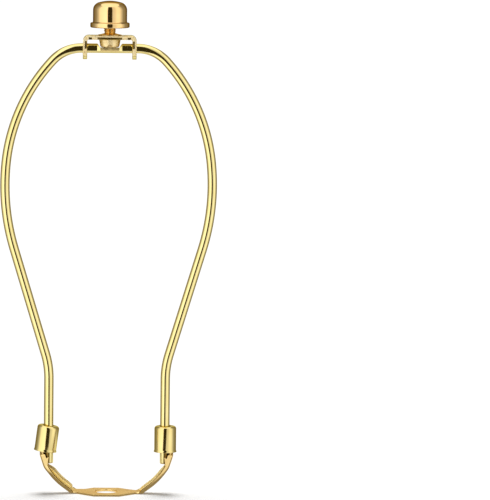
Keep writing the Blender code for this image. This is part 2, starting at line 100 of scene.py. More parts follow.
TWIST_RISE = 0.0040
TWIST_HOLD = 0.0089
TWIST_FALL = 0.0060
TROUGH_RADIUS = 0.0039
TROUGH_WRAP = math.radians(49.0)
TROUGH_FLAT = 0.00015
TROUGH_PLAY = 0.00105

# Locking ferrules
FERRULE_HEIGHT = 0.0130
FERRULE_RISE = 0.0009
FERRULE_WALL = 0.0011
FERRULE_TOP = 0.0010
FERRULE_SHOULDER = 0.0013
FERRULE_LIP = 0.00025
FERRULE_EASE = 0.00015
LIP_START = 5 * FERRULE_LIP
LIP_END = 4 * FERRULE_LIP
FERRULE_OFFSET = 0.00025
LEFT_SHIFT = 0.00055
LEFT_LEAN = math.radians(7.5)

# Swivel bracket
STRAP_SHEET = 0.0021
STRAP_WIDTH = 0.0265
STRAP_DEPTH = 0.0110
STRAP_BEND = 0.0028
STRAP_DROP = 0.0065
STRAP_EDGE = 0.0004
EDGE_SHARE = 0.8
EAR_PLAY = 0.00012

# Finial stud
THREAD_DIAMETER = 0.0062
THREAD_PITCH = 0.0009407
THREAD_DEPTH = 0.00050
THREAD_CREST = 0.12
THREAD_FLANK = 0.76
THREAD_CHAMFER = 0.0006
STUD_HEIGHT = 0.0119
TENON_DIAMETER = 0.0052
HEAD_DIAMETER = 0.0106
HEAD_FOOT = 0.0096
HEAD_ROUND = 0.0010
HEAD_DRAFT = 8
HEAD_EASE = 0.00015
HEAD_NOTCH = 0.0030
NOTCH_DEPTH = 0.0022
CONE_DIAMETER = 0.0116
CONE_HEIGHT = 0.0012
CONE_EDGE = 0.0003
CONE_CURVE = 1.7

# Finial
FINIAL_LIFT = 0.0037
RIM_DIAMETER = 0.0195
RIM_HEIGHT = 0.0026
RIM_ROUND = 0.0007
DOME_DIAMETER = 0.0169
DOME_HEIGHT = 0.0133
DOME_ROUND = 0.0040
CROWN_RADIUS = 0.0200
LEDGE_ROUND = 0.0005
SHELL = 0.0008
HUB_DIAMETER = 0.0100
HUB_HEIGHT = 0.0085
DISC_THICKNESS = 0.0015
BORE_CHAMFER = 0.0003

# Fineness
WIRE_SIDES = 48
ROUND_SEGMENTS = 128
SMALL_SEGMENTS = 64
TENT_SEGMENTS = 96
TENT_STEPS = 6
THREAD_RINGS = 10
FOLD_STEPS = 10
EASE_STEPS = 3
EDGE_STEPS = 4
CORNER_STEPS = 8
EAR_STEPS = 18
SEAT_STEPS = 8
WIRE_END_STEPS = 4
WIRE_END_LEAD = 1.4
CONE_STEPS = 8
CROWN_STEPS = 12
DOME_STEPS = 20
LEDGE_STEPS = 6
BEND_STEP = math.radians(1.5)
SADDLE_STEP = 0.0004
WIRE_STEP = 0.0040
SHARP_ANGLE = math.radians(38.0)
CUT_MARGIN = 0.0010
STATION_GAP = 1e-5
MERGE_DISTANCE = 1e-7

# Camera
CAMERA_PLACE = (0.0, -2.1327, 0.3387)
CAMERA_YAW = math.radians(1.825)
CAMERA_PITCH = math.radians(5.786)
CAMERA_ROLL = math.radians(0.649)
CAMERA_LENS = 310.8
SENSOR_WIDTH = 36
CLIP_START = 0.01

# Painted shade on the outer side of the leg ends, where they sit in the troughs
LEG_SHADE_LENGTH = 0.0080
LEG_SHADE_SIDE = 0.0006

# Pressed seat: its finish starts this share of the wire's radius below the axis of the crown
SEAT_SIDE = 0.6

# Faces of the saddle: where its arms begin and end, how far a face turns, and the front flange's cut edge
ARM_START = 0.0165
ARM_TOP = 0.0175
INWARD_TURN = 0.3
FLOOR_TURN = 0.1
FLAT_TURN = 0.95
LIP_SHARE = 0.7

# Faces of the strap: its cut edges, which look along Y, and the painted shade on them
CUT_TURN = 0.8
CUT_START = STRAP_DEPTH / 8
STRAP_SHADE_EDGE = 0.0009
STRAP_SHADE_WIDTH = 0.0061
STRAP_SHADE_SPOTS = (0.0088, 0.0104)

# Metal: scale and detail of each noise, and what it does
TONE_NOISE = (140, 5)
POLISH_NOISE = (420, 6)
BRUSH_NOISE = (900, 3)
RIPPLE_NOISE = (160, 2)
NOISE_SPAN = (0.3, 0.7)
POLISH_SPREAD = (0.7, 1.5)
BRUSH_STRENGTH = 0.5
BRUSH_DEPTH = 0.000001
BRUSH_SHARE = 1 / 8
EDGE_TINT = (0.72, 0.62, 0.24)
SATIN_TINT = (0.90, 0.71, 0.44)
WARM_TINT = (0.20, 0.12, 0.04)

# Finishes: pale and deep tone, roughness, stretch of the drawing marks, depth of the ripple and edge tint
FINISHES = {
    "satin_brass": ((0.93, 0.69, 0.30), (0.84, 0.59, 0.23), 0.16, (1, 6, 1), 0.000004, SATIN_TINT),
    "plate_brass": ((0.93, 0.69, 0.30), (0.84, 0.59, 0.23), 0.42, (1, 6, 1), 0.000004, SATIN_TINT),
    # A lighter copy of the satin brass that paints a highlight inside the channels
    "inner_brass": ((0.99, 0.82, 0.40), (0.94, 0.75, 0.33), 0.42, (1, 6, 1), 0.000004, EDGE_TINT),
    "lip_brass": ((0.36, 0.20, 0.05), (0.30, 0.16, 0.035), 0.36, (3, 1, 1), 0.000002, EDGE_TINT),
    "polished_brass": ((0.87, 0.74, 0.34), (0.82, 0.68, 0.28), 0.08, (1, 1, 8), 0.000002, EDGE_TINT),
    "drawn_brass": ((0.82, 0.67, 0.29), (0.77, 0.61, 0.24), 0.08, (1, 1, 8), 0.000002, EDGE_TINT),
    "sheared_brass": ((0.90, 0.72, 0.34), (0.82, 0.62, 0.27), 0.36, (3, 1, 1), 0.000004, EDGE_TINT),
    "rolled_brass": ((0.96, 0.84, 0.55), (0.90, 0.76, 0.45), 0.62, (3, 1, 1), 0.000002, EDGE_TINT),
    # A dark copy of the brass that paints shade on the leg ends and on the strap's cut edges
    "worn_brass": ((0.30, 0.20, 0.05), (0.22, 0.14, 0.03), 0.30, (1, 1, 8), 0.000004, EDGE_TINT),
    "turned_brass": ((0.90, 0.64, 0.25), (0.80, 0.53, 0.18), 0.26, (1, 1, 10), 0.000002, EDGE_TINT),
    "matte_brass": ((0.92, 0.75, 0.42), (0.84, 0.65, 0.33), 0.46, (1, 1, 10), 0.000002, EDGE_TINT),
    "warm_gold": ((0.92, 0.66, 0.31), (0.87, 0.58, 0.24), 0.06, (1, 1, 8), 0.000002, WARM_TINT),
}

# Light and floor
WORLD_LEVEL = 0.3
SUN_LEVEL = 0.8
SUN_ANGLE = math.radians(26)
SUN_TILT = math.radians(12)
FLOOR_HALF = 30
FLOOR_ALBEDO = 0.85
FLOOR_GLOW = 0.12

# Low card behind the saddle, which only the metal reflects
CARD_PLACE = 0.28
CARD_WIDTH = 0.26
CARD_HEIGHT = 0.10
CARD_LIFT = 0.003
CARD_LEVEL = 0.75

# Light tent, which only the metal reflects: its shape
TENT_INNER = 0.0058
TENT_FLOOR = 0.0002
TENT_RADIUS = 1.6
TENT_HEIGHT = 3.0
TENT_CURVE = 0.3

# Light tent: brightness of its floor close to the harp, with a painted shadow that turns it darker under the
# bow
NEAR_START = 0.08
NEAR_END = 0.13
NEAR_LEVEL = 1.0
SHADE_DEPTH = 0.014
SHADE_FADE = 0.010
SHADE_LEVEL = 0.32

# Light tent: brightness of its walls by azimuth in degrees from the front, to the right, and above the slit
TENT_WALLS = [
    (-180, 0.8), (-164, 0.8), (-152, 0.28), (-132, 0.28), (-116, 0.34), (-104, 0.38), (-84, 0.75), (-70, 1.3),
    (-30, 1.5), (-17.5, 1.45), (-14, 0.04), (14, 0.04), (17.5, 0.85), (35, 1.0), (48, 1.3), (66, 1.3),
    (82, 0.8), (100, 0.35), (116, 0.34), (132, 0.28), (152, 0.28), (164, 0.8), (180, 0.8),
]
TENT_SLIT_TOP = 2.1
TENT_SLIT_FADE = 0.4
TENT_CEILING = 1.35

# Light tent: colour of its dark cloth, and the brightness over which it turns white
TENT_SHADE = (1.0, 0.76, 0.26)
TENT_SHADE_SPAN = (0.03, 0.45)

# Worked-out places
WIRE_RADIUS = WIRE_DIAMETER / 2
LEG_X = LEG_SPACING / 2
CROWN_Z = HARP_HEIGHT - STRAP_DROP
CROWN_HALF = STRAP_WIDTH / 2 + CROWN_MARGIN
STRAP_UNDERSIDE = HARP_HEIGHT - STRAP_SHEET
TIP_X = LEG_X + WIRE_RADIUS + TROUGH_PLAY + SHEET
CHANNEL_HALF = WIRE_RADIUS + FIT_GAP + SHEET
SEAT_HALF = HEAD_FOOT / 2 - HEAD_ROUND + SEAT_MARGIN
FERRULE_X = LEG_X + FERRULE_OFFSET
FINIAL_Z = HARP_HEIGHT + FINIAL_LIFT
THREAD_RADIUS = THREAD_DIAMETER / 2


# Paths and sections

def along(heading):
    """Unit vector of a heading in the XZ plane."""
    return Vector((math.cos(heading), 0, math.sin(heading)))


def across(heading):
    """Unit vector to the left of a heading in the XZ plane."""
    return Vector((-math.sin(heading), 0, math.cos(heading)))


def follow(start, heading, pieces):
    """Stations (distance, place, heading) along runs (length,) and arcs (radius, turn) in the XZ plane."""
    place = Vector((start[0], 0, start[1]))
    distance = 0.0
    stations = [(distance, place.copy(), heading)]
    for piece in pieces:
        if len(piece) == 1:
            place += piece[0] * along(heading)
            distance += piece[0]
            stations.append((distance, place.copy(), heading))
            continue
        radius, turn = piece
        side = math.copysign(1, turn)
        centre = place + side * radius * across(heading)
        steps = max(2, math.ceil(abs(turn) / BEND_STEP))
        for _ in range(steps):
            heading += turn / steps
            distance += radius * abs(turn) / steps
            place = centre - side * radius * across(heading)
            stations.append((distance, place.copy(), heading))
    return stations


def refine(stations, distances):
    """The stations with one more at each of the distances, which lie between two of them."""
    full = list(stations)
    for distance in distances:
        before = max((s for s in full if s[0] <= distance), key=lambda s: s[0])
        after = min((s for s in full if s[0] > distance), key=lambda s: s[0])
        if min(distance - before[0], after[0] - distance) < STATION_GAP:
            continue
        part = (distance - before[0]) / (after[0] - before[0])
        place = before[1].lerp(after[1], part)
        full.append((distance, place, before[2] + (after[2] - before[2]) * part))
        full.sort(key=lambda s: s[0])
    return full


def mirrored(stations):
    """A path from its mirror image's far end, over its start, to its own far end."""
    left = [(-d, Vector((-p.x, p.y, p.z)), -h) for d, p, h in reversed(stations)]
    return left[:-1] + stations


def straight(value, start, end):
    """0 before start, 1 after end, straight between."""
    return min(1.0, max(0.0, (value - start) / (end - start)))


def ramp(value, start, end):
    """0 before start, 1 after end, with a soft rise between."""
    part = straight(value, start, end)
    return part * part * (3 - 2 * part)


def mix(first, second, part):
    """Blend of two sets of numbers."""
    return tuple(a + (b - a) * part for a, b in zip(first, second))


def corner(centre, radius, start, end, steps=CORNER_STEPS):
    """Points of an arc round a centre, from one angle in degrees to another."""
    angles = [math.radians(start + (end - start) * i / steps) for i in range(steps + 1)]
    return [(centre[0] + radius * math.cos(a), centre[1] + radius * math.sin(a)) for a in angles]


# Meshes

def skin(rings):
    """Faces between rings of points with the same count."""
    bm = bmesh.new()
    loops = [[bm.verts.new(point) for point in ring] for ring in rings]
    count = len(rings[0])
    for near, far in zip(loops, loops[1:]):
        for i in range(count):
            j = (i + 1) % count
            bm.faces.new((near[i], near[j], far[j], far[i]))
    return bm, loops


def rod_ends(bm, loops):
    """Close a skin at both ends with one face each."""
    bm.faces.new(loops[0])
    bm.faces.new(loops[-1])


def sheet_ends(bm, loops):
    """Close a folded sheet at both ends with a row of faces from its outer to its inner side."""
    for loop in (loops[0], loops[-1]):
        last = len(loop) - 1
        for i in range(len(loop) // 2 - 1):
            bm.faces.new((loop[i], loop[i + 1], loop[last - i - 1], loop[last - i]))


def revolve(outline, closed, segments=ROUND_SEGMENTS):
    """Turn an outline of (radius, height) points round the Z axis."""
    bm = bmesh.new()
    verts = [bm.verts.new((radius, 0, height)) for radius, height in outline]
    ends = zip(verts, verts[1:] + verts[:1]) if closed else zip(verts, verts[1:])
    edges = [bm.edges.new(pair) for pair in ends]
    bmesh.ops.spin(bm, geom=verts + edges, cent=(0, 0, 0), axis=(0, 0, 1), angle=math.tau,
                   steps=segments, use_merge=True)
    bmesh.ops.remove_doubles(bm, verts=bm.verts, dist=MERGE_DISTANCE)
    return bm


def add_piece(name, bm, location=(0, 0, 0), lean=0.0):
    """Turn a mesh modelled about its own origin into a named object with its mesh in place."""
    turn = Matrix.Translation(location) @ Matrix.Rotation(lean, 4, "Y")
    bmesh.ops.transform(bm, matrix=turn, verts=bm.verts)
    bmesh.ops.recalc_face_normals(bm, faces=bm.faces)
    mesh = bpy.data.meshes.new(name)
    bm.to_mesh(mesh)
    bm.free()
    piece = bpy.data.objects.new(name, mesh)
    bpy.context.scene.collection.objects.link(piece)
    smooth(mesh)
    return piece


def smooth(mesh):
    """Smooth shading with sharp edges kept."""
    mesh.shade_smooth()
    mesh.set_sharp_from_angle(angle=SHARP_ANGLE)


def cut(piece, bm):
    """Take a closed mesh, given in the world, out of a piece."""
    bmesh.ops.recalc_face_normals(bm, faces=bm.faces)
    mesh = bpy.data.meshes.new("cutter")
    bm.to_mesh(mesh)
    bm.free()
    cutter = bpy.data.objects.new("cutter", mesh)
    bpy.context.scene.collection.objects.link(cutter)
    tool = piece.modifiers.new("cut", "BOOLEAN")
    tool.operation = "DIFFERENCE"
    tool.solver = "EXACT"
    tool.object = cutter
    graph = bpy.context.evaluated_depsgraph_get()
    result = bpy.data.meshes.new_from_object(piece.evaluated_get(graph))
    piece.modifiers.clear()
    piece.data = result
    bpy.data.objects.remove(cutter, do_unlink=True)
    smooth(result)


def rod(radius, length, centre, axis):
    """A closed round bar, centred on a place, along an axis."""
    bm = bmesh.new()
    turn = Vector((0, 0, 1)).rotation_difference(Vector(axis)).to_matrix().to_4x4()
    place = Matrix.Translation(centre) @ turn
    bmesh.ops.create_cone(bm, cap_ends=True, segments=ROUND_SEGMENTS, radius1=radius, radius2=radius,
                          depth=length, matrix=place)
    return bm


def eased_hole(radius, low, high, ease):
    """A bar that cuts a hole with rounded edges between two heights."""
    over = 2 * ease
    foot = corner((radius + ease, low + ease), ease, -90, -180, EASE_STEPS)
    head = corner((radius + ease, high - ease), ease, 180, 90, EASE_STEPS)
    outline = [(0, low - over), (radius + ease, low - over)] + foot + head
    return revolve(outline + [(radius + ease, high + over), (0, high + over)], closed=False)


# Saddle

def arm_path():
    """Outer face of the right half of the saddle, from the middle of the plate to the tip."""
    upright = math.pi / 2
    tip_turn = upright - BASE_BEND_TURN - ARM_CURVE_TURN - CROOK_TURN
    pieces = [(BASE_BEND_RADIUS, BASE_BEND_TURN), (ARM_RUN,), (ARM_CURVE_RADIUS, ARM_CURVE_TURN),
              (CROOK_RADIUS, CROOK_TURN), (SPLAY_RUN,), (TIP_BEND_RADIUS, tip_turn), (TROUGH_LENGTH,)]
    reach = follow((0, 0), 0.0, pieces)[-1][1].x
    flat = TIP_X - reach
    return flat, follow((0, 0), 0.0, [(flat,)] + pieces)


def folded_section(place, heading, sizes, half, twist):
    """Outline of the sheet across the arm: flat middle, two folds and two straight lips with eased edges.

    A twist turns the section about its front edge, which lifts the rear one.
    """
    flat, fold, angle, lip = sizes
    middle = [(0.0, SHEET / 2, 0.0, half), (flat, SHEET / 2, 0.0, half)]
    step = angle / FOLD_STEPS
    chord = fold / FOLD_STEPS
    for _ in range(FOLD_STEPS):
        y, n, a, _ = middle[-1]
        lean = a + step / 2
        middle.append((y + chord * math.cos(lean), n + chord * math.sin(lean), a + step, half))
    y, n, a, _ = middle[-1]
    for i in range(EASE_STEPS + 1):
        turn = math.pi / 2 * i / EASE_STEPS
        run = lip - SHEET_EASE * (1 - math.sin(turn))
        thick = half - SHEET_EASE * (1 - math.cos(turn))
        middle.append((y + run * math.cos(a), n + run * math.sin(a), a, thick))
    outer = [(y + t * math.sin(a), n - t * math.cos(a)) for y, n, a, t in middle]
    inner = [(y - t * math.sin(a), n + t * math.cos(a)) for y, n, a, t in middle]
    outer = [(-y, n) for y, n in reversed(outer[1:])] + outer
    inner = [(-y, n) for y, n in reversed(inner[1:])] + inner
    up = across(heading)
    front = max(y for y, _ in outer)
    ring = []
    for y, n in outer + inner[::-1]:
        reach = y + front
        side = reach * math.cos(twist) - n * math.sin(twist) - front
        lift = reach * math.sin(twist) + n * math.cos(twist)
        ring.append(place + Vector((0, side, 0)) + lift * up)
    return ring


def section_twist(distance, bend_end):
    """Twist of an arm at a signed distance from the middle of the plate."""
    turn = LEFT_TWIST if distance < 0 else RIGHT_TWIST
    top = bend_end + TWIST_RISE
    fall = top + TWIST_HOLD
    rise = ramp(abs(distance), TWIST_START, top)
    return turn * rise * (1 - ramp(abs(distance), fall, fall + TWIST_FALL))


def channel_sizes(flange):
    """Section of the channel with flanges of this height."""
    fold_mid = FOLD_RADIUS + SHEET / 2
    flat = CHANNEL_HALF - SHEET / 2 - fold_mid
    return flat, fold_mid * FOLD_ANGLE, FOLD_ANGLE, flange - SHEET / 2 - fold_mid


def section_sizes(distance, bend_end, tip):
    """Flat, fold, fold angle and lip of the sheet at a distance from the middle of the plate."""
    distance = abs(distance)
    tab = tip - TAB_DROP
    fold = (FOLD_RADIUS + SHEET / 2) * math.pi / 2
    neck = (CHANNEL_HALF - fold - NECK_LIP, fold, 0.0, NECK_LIP)
    plate = (PLATE_DEPTH / 2 - fold - NECK_LIP, fold, 0.0, NECK_LIP)
    trough = (TROUGH_FLAT, (TROUGH_RADIUS - SHEET / 2) * TROUGH_WRAP, TROUGH_WRAP, NECK_LIP)
    sizes = mix(plate, neck, straight(distance, PLATE_EDGE / 2, PLATE_LENGTH / 2))
    sizes = mix(sizes, channel_sizes(BASE_FLANGE), ramp(distance, PLATE_LENGTH / 2, bend_end))
    sizes = mix(sizes, channel_sizes(CROOK_FLANGE), ramp(distance, bend_end, tab - TAB_RUN))
    sizes = mix(sizes, channel_sizes(TAB_HEIGHT), straight(distance, tab - TAB_RUN, tab))
    sizes = mix(sizes, channel_sizes(NOTCH_WALL), straight(distance, tab, tab + TAB_END))
    return mix(sizes, trough, ramp(distance, tab + TAB_END, tip + NOTCH_RISE))


def relief(side):
    """The V-shaped relief between the trough and the tabs of an arm."""
    seat = trough_seat()
    apex = (TIP_X - RELIEF_REACH, seat - RELIEF_DROP)
    inside = TIP_X - TAB_HEIGHT - CUT_MARGIN
    top = seat + RELIEF_TOP
    rim = apex[1] + (apex[0] - inside) * math.tan(RELIEF_LEAN)
    shape = [apex, (TIP_X - RELIEF_WALL, top), (inside, top), (inside, rim)]
    depth = CHANNEL_HALF + CUT_MARGIN
    bm, loops = skin([[Vector((side * x, y, z)) for x, z in shape] for y in (-depth, depth)])
    rod_ends(bm, loops)
    return bm


def build_saddle():
    """One stamped sheet: plate with the socket hole, necks, channel arms and troughs."""
    flat_run, path = arm_path()
    bend_end = flat_run + BASE_BEND_RADIUS * BASE_BEND_TURN
    tip = path[-2][0]
    end = path[-1][0]
    marks = [i * SADDLE_STEP for i in range(1, int(end / SADDLE_STEP))]
    tab = tip - TAB_DROP
    marks += [PLATE_EDGE / 2, PLATE_LENGTH / 2, tab - TAB_RUN, tab, tab + TAB_END]
    eases = [SHEET_EASE * (1 - math.sin(math.pi / 2 * i / EASE_STEPS)) for i in range(1, EASE_STEPS)]
    marks += [end - SHEET_EASE] + [end - ease for ease in eases]
    path = mirrored(refine(path, marks))
    rings = []
    for distance, place, heading in path:
        short = max(0.0, SHEET_EASE - (end - abs(distance)))
        thin = SHEET_EASE - math.sqrt(max(0.0, SHEET_EASE**2 - short**2))
        sizes = section_sizes(distance, bend_end, tip)
        twist = section_twist(distance, bend_end)
        rings.append(folded_section(place, heading, sizes, SHEET / 2 - thin, twist))
    bm, loops = skin(rings)
    sheet_ends(bm, loops)
    saddle = add_piece("saddle_sheet", bm)
    cut(saddle, eased_hole(SOCKET_HOLE / 2, 0, SHEET, SHEET_EASE))
    cut(saddle, relief(-1))
    cut(saddle, relief(1))
    return saddle


def trough_seat():
    """Height at which the arms' tips become plain troughs."""
    return arm_path()[1][-2][1].z


# Wire

def inner_face():
    """Places on the inner face of the right arm, from the middle of the plate to the tip."""
    return [place + SHEET * across(heading) for _, place, heading in arm_path()[1]]


def wire_end():
    """Lowest height of the wire, whose outer side is bevelled to clear the arm's crook."""
    limit = LEG_X + WIRE_RADIUS + FIT_GAP
    inner = inner_face()
    below, above = next((a, b) for a, b in zip(inner, inner[1:]) if a.x < limit <= b.x)
    return below.lerp(above, (limit - below.x) / (above.x - below.x)).z - END_BEVEL


def bevel_depth():
    """How far the bevel cuts into the wire's outer side at its end."""
    height = wire_end()
    inner = inner_face()
    below, above = next((a, b) for a, b in zip(inner, inner[1:]) if a.z < height <= b.z)
    face = below.lerp(above, (height - below.z) / (above.z - below.z)).x
    return LEG_X + WIRE_RADIUS + FIT_GAP - face


def bow_path():
    """Axis of the right half of the wire, from the middle of the crown to the leg's end."""
    upright_turn = math.pi / 2 - SHOULDER_TURN - UPPER_SIDE_TURN
    crown = [(CROWN_HALF,), (SHOULDER_RADIUS, -SHOULDER_TURN), (UPPER_SIDE_RADIUS, -UPPER_SIDE_TURN),
             (LOWER_SIDE_RADIUS, -upright_turn), (LOWER_SIDE_RADIUS, -FLARE_ANGLE)]
    side = follow((0, CROWN_Z), 0.0, crown)[-1][1]
    bend = LEG_BEND_RADIUS * (1 - math.cos(FLARE_ANGLE))
    flare = (side.x - LEG_X - bend) / math.sin(FLARE_ANGLE)
    upper = crown + [(flare,), (LEG_BEND_RADIUS, FLARE_ANGLE)]
    knee = follow((0, CROWN_Z), 0.0, upper)[-1][1]
    return follow((0, CROWN_Z), 0.0, upper + [(knee.z - wire_end(),)])


def wire_ring(place, heading, radius, top, spread):
    """Points round the wire, cut flat at a height on its outer side and widened by a factor."""
    up = across(heading)
    ring = []
    for i in range(WIRE_SIDES):
        angle = math.tau * i / WIRE_SIDES
        height = min(radius * math.cos(angle), top)
        ring.append(place + Vector((0, spread * radius * math.sin(angle), 0)) + height * up)
    return ring


def build_wire():
    """The bow, one bent wire with a pressed seat in the middle of its crown."""
    path = bow_path()
    end = path[-1][0]
    marks = [SEAT_HALF + SEAT_RAMP * i / SEAT_STEPS for i in range(SEAT_STEPS + 1)]
    turns = [math.pi / 2 * i / WIRE_END_STEPS for i in range(WIRE_END_STEPS)]
    marks += [end - WIRE_END_CHAMFER * (1 - math.sin(turn)) for turn in turns]
    marks += [end - LEG_SHADE_LENGTH, end - END_BEVEL, end - WIRE_END_CHAMFER * WIRE_END_LEAD]
    marks += [WIRE_STEP * i for i in range(1, int(end / WIRE_STEP))]
    depth = bevel_depth()
    rings = []
    for distance, place, heading in mirrored(refine(path, marks)):
        pressed = 1 - ramp(abs(distance), SEAT_HALF, SEAT_HALF + SEAT_RAMP)
        short = max(0.0, WIRE_END_CHAMFER - (end - abs(distance)))
        thin = WIRE_END_CHAMFER - math.sqrt(max(0.0, WIRE_END_CHAMFER**2 - short**2))
        top = WIRE_RADIUS + (SEAT_HEIGHT - WIRE_RADIUS) * pressed
        top -= depth * straight(abs(distance), end - END_BEVEL, end)
        widening = 1 + SEAT_SPREAD / WIRE_RADIUS * pressed
        rings.append(wire_ring(place, heading, WIRE_RADIUS - thin, top, widening))
    bm, loops = skin(rings)
    rod_ends(bm, loops)
    return add_piece("bow_wire", bm)


# Ferrules

def ferrule_radii():
    """Bore and top hole of a ferrule: they clear the trough and the wire, also where it leans."""
    slope = math.tan(LEFT_LEAN)
    left = FERRULE_OFFSET + LEFT_SHIFT
    foot = left + FERRULE_HEIGHT / 2 * slope
    trough_reach = TIP_X - FERRULE_X
    bore = max(trough_reach, WIRE_RADIUS + foot) + FIT_GAP
    offsets = [FERRULE_OFFSET, abs(left - FERRULE_HEIGHT / 2 * slope)]
    offsets.append(abs(left - (FERRULE_HEIGHT / 2 - FERRULE_TOP) * slope))
    return bore, WIRE_RADIUS + max(offsets) + FIT_GAP


def ferrule_outline():
    """Wall of the drawn cup, open below, with a rounded shoulder, eased edges and a hole in its top."""
    bore, hole = ferrule_radii()
    outer = bore + FERRULE_WALL
    top = FERRULE_HEIGHT / 2
    ease = FERRULE_EASE
    shoulder = corner((outer - FERRULE_SHOULDER, top - FERRULE_SHOULDER), FERRULE_SHOULDER, 90, 0)
    lip = [(outer, -top + LIP_START), (outer, -top + LIP_END)]
    lip += corner((outer + FERRULE_LIP - ease, -top + ease), ease, 0, -90, EASE_STEPS)
    foot = corner((bore + ease, -top + ease), ease, -90, -180, EASE_STEPS)
    inside = FERRULE_SHOULDER / 2
    inner = corner((bore - inside, top - FERRULE_TOP - inside), inside, 0, 90, EDGE_STEPS)
    mouth = corner((hole + ease, top - FERRULE_TOP + ease), ease, -90, -180, EASE_STEPS)
    mouth += corner((hole + ease, top - ease), ease, 180, 90, EASE_STEPS)
    return shoulder + lip + foot + inner + mouth


def build_ferrules():
    """The two locking sleeves: the right one stands straight, the left one sits askew."""
    middle = trough_seat() + FERRULE_RISE + FERRULE_HEIGHT / 2
    left = add_piece("left_sleeve_cup", revolve(ferrule_outline(), closed=True),
                     (-FERRULE_X - LEFT_SHIFT, 0, middle), LEFT_LEAN)
    right = add_piece("right_sleeve_cup", revolve(ferrule_outline(), closed=True), (FERRULE_X, 0, middle))
    return left, right


# Bracket

def strap_ring(place, heading, half_depth):
    """Outline of the strap's section with rounded edges, from its outer to its inner face."""
    inward = -across(heading)
    edge = min(STRAP_EDGE, half_depth * EDGE_SHARE)
    wide = half_depth - edge
    deep = STRAP_SHEET - edge
    shape = corner((-wide, edge), edge, 180, 270, EDGE_STEPS)
    shape += corner((wide, edge), edge, 270, 360, EDGE_STEPS) + [(half_depth, STRAP_SHADE_EDGE)]
    shape += corner((wide, deep), edge, 0, 90, EDGE_STEPS)
    shape += corner((-wide, deep), edge, 90, 180, EDGE_STEPS) + [(-half_depth, STRAP_SHADE_EDGE)]
    return [place + Vector((0, y, 0)) + n * inward for y, n in shape]


def build_bracket():
    """The strap over the crown, bent down at both ends into round-ended ears."""
    end_radius = STRAP_DEPTH / 2
    run = STRAP_WIDTH / 2 - STRAP_BEND
    bend = follow((0, HARP_HEIGHT), 0.0, [(run,), (STRAP_BEND, -math.pi / 2)])
    path = [(p, h, end_radius) for _, p, h in refine(bend, [STRAP_SHADE_WIDTH, *STRAP_SHADE_SPOTS])]
    for i in range(EAR_STEPS):
        angle = math.pi / 2 * (1 - i / EAR_STEPS)
        place = Vector((STRAP_WIDTH / 2, 0, CROWN_Z - end_radius * math.cos(angle)))
        path.append((place, -math.pi / 2, end_radius * math.sin(angle)))
    left = [(Vector((-p.x, 0, p.z)), -h, half) for p, h, half in reversed(path)]
    bm, loops = skin([strap_ring(*station) for station in left[:-1] + path])
    rod_ends(bm, loops)
    bracket = add_piece("swivel_strap", bm)
    cut(bracket, rod(WIRE_RADIUS + EAR_PLAY, STRAP_WIDTH + 2 * STRAP_SHEET, (0, 0, CROWN_Z), (1, 0, 0)))
    middle = HARP_HEIGHT - STRAP_SHEET / 2
    cut(bracket, rod(TENON_DIAMETER / 2 + FIT_GAP, 2 * STRAP_SHEET, (0, 0, middle), (0, 0, 1)))
    return bracket


# Stud

def stud_foot_outline():
    """Half outline of the stud below its thread, from the edge of its head's underside."""
    foot = SEAT_HEIGHT + FIT_GAP
    neck = STRAP_UNDERSIDE - CROWN_Z
    base = STRAP_DROP
    tenon = TENON_DIAMETER / 2
    root = THREAD_RADIUS - THREAD_DEPTH
    outline = corner((HEAD_FOOT / 2 - HEAD_ROUND, foot + HEAD_ROUND), HEAD_ROUND, -90, -HEAD_DRAFT)
    outline += corner((HEAD_DIAMETER / 2 - HEAD_EASE, neck - HEAD_EASE), HEAD_EASE, 0, 90, EASE_STEPS)
    outline += [(tenon, neck), (tenon, base)]
    outline += [(CONE_DIAMETER / 2, base + FIT_GAP / 3), (CONE_DIAMETER / 2, base + CONE_EDGE)]
    reach = CONE_DIAMETER / 2 - root
    for i in range(1, CONE_STEPS + 1):
        part = i / CONE_STEPS
        sink = (1 - part) ** CONE_CURVE
        outline.append((root + reach * sink, base + CONE_EDGE + (CONE_HEIGHT - CONE_EDGE) * part))
    return outline


def thread_depth(turns):
    """How far the thread's flank lies below its crest, as a share, at a number of turns."""
    wave = abs(2 * (turns % 1.0) - 1)
    return min(1.0, max(0.0, (wave - THREAD_CREST) / THREAD_FLANK))


def thread_radius(rise, part):
    """Radius of the thread at a height above its start and a part of a turn."""
    fade = min(1.0, rise / THREAD_PITCH)
    turns = rise / THREAD_PITCH - part
    return THREAD_RADIUS - THREAD_DEPTH * (1 - (1 - thread_depth(turns)) * fade)


def round_ring(radii, height):
    """Points round the Z axis at a height, one for each radius."""
    angles = [math.tau * i / len(radii) for i in range(len(radii))]
    return [(r * math.cos(a), r * math.sin(a), height) for r, a in zip(radii, angles)]


def build_stud():
    """The stud riveted through the strap: notched head, flared foot, and a helical thread."""
    bottom = CROWN_Z + STRAP_DROP + CONE_HEIGHT
    top = CROWN_Z + STRAP_DROP + STUD_HEIGHT
    count = int((top - bottom) / THREAD_PITCH * THREAD_RINGS)
    rings = [round_ring([r] * SMALL_SEGMENTS, CROWN_Z + z) for r, z in stud_foot_outline()]
    for k in range(1, count + 1):
        z = bottom + (top - bottom) * k / count
        lead = min(THREAD_RADIUS, THREAD_RADIUS - THREAD_CHAMFER + top - z)
        radii = [thread_radius(z - bottom, i / SMALL_SEGMENTS) for i in range(SMALL_SEGMENTS)]
        rings.append(round_ring([min(radius, lead) for radius in radii], z))
    bm, loops = skin(rings)
    rod_ends(bm, loops)
    stud = add_piece("threaded_stud", bm)
    for side in (-1, 1):
        foot = (0, side * (HEAD_FOOT - NOTCH_DEPTH), CROWN_Z + SEAT_HEIGHT + FIT_GAP)
        cut(stud, rod(HEAD_NOTCH / 2, HEAD_FOOT, foot, (0, 1, 0)))
    return stud


# Finial

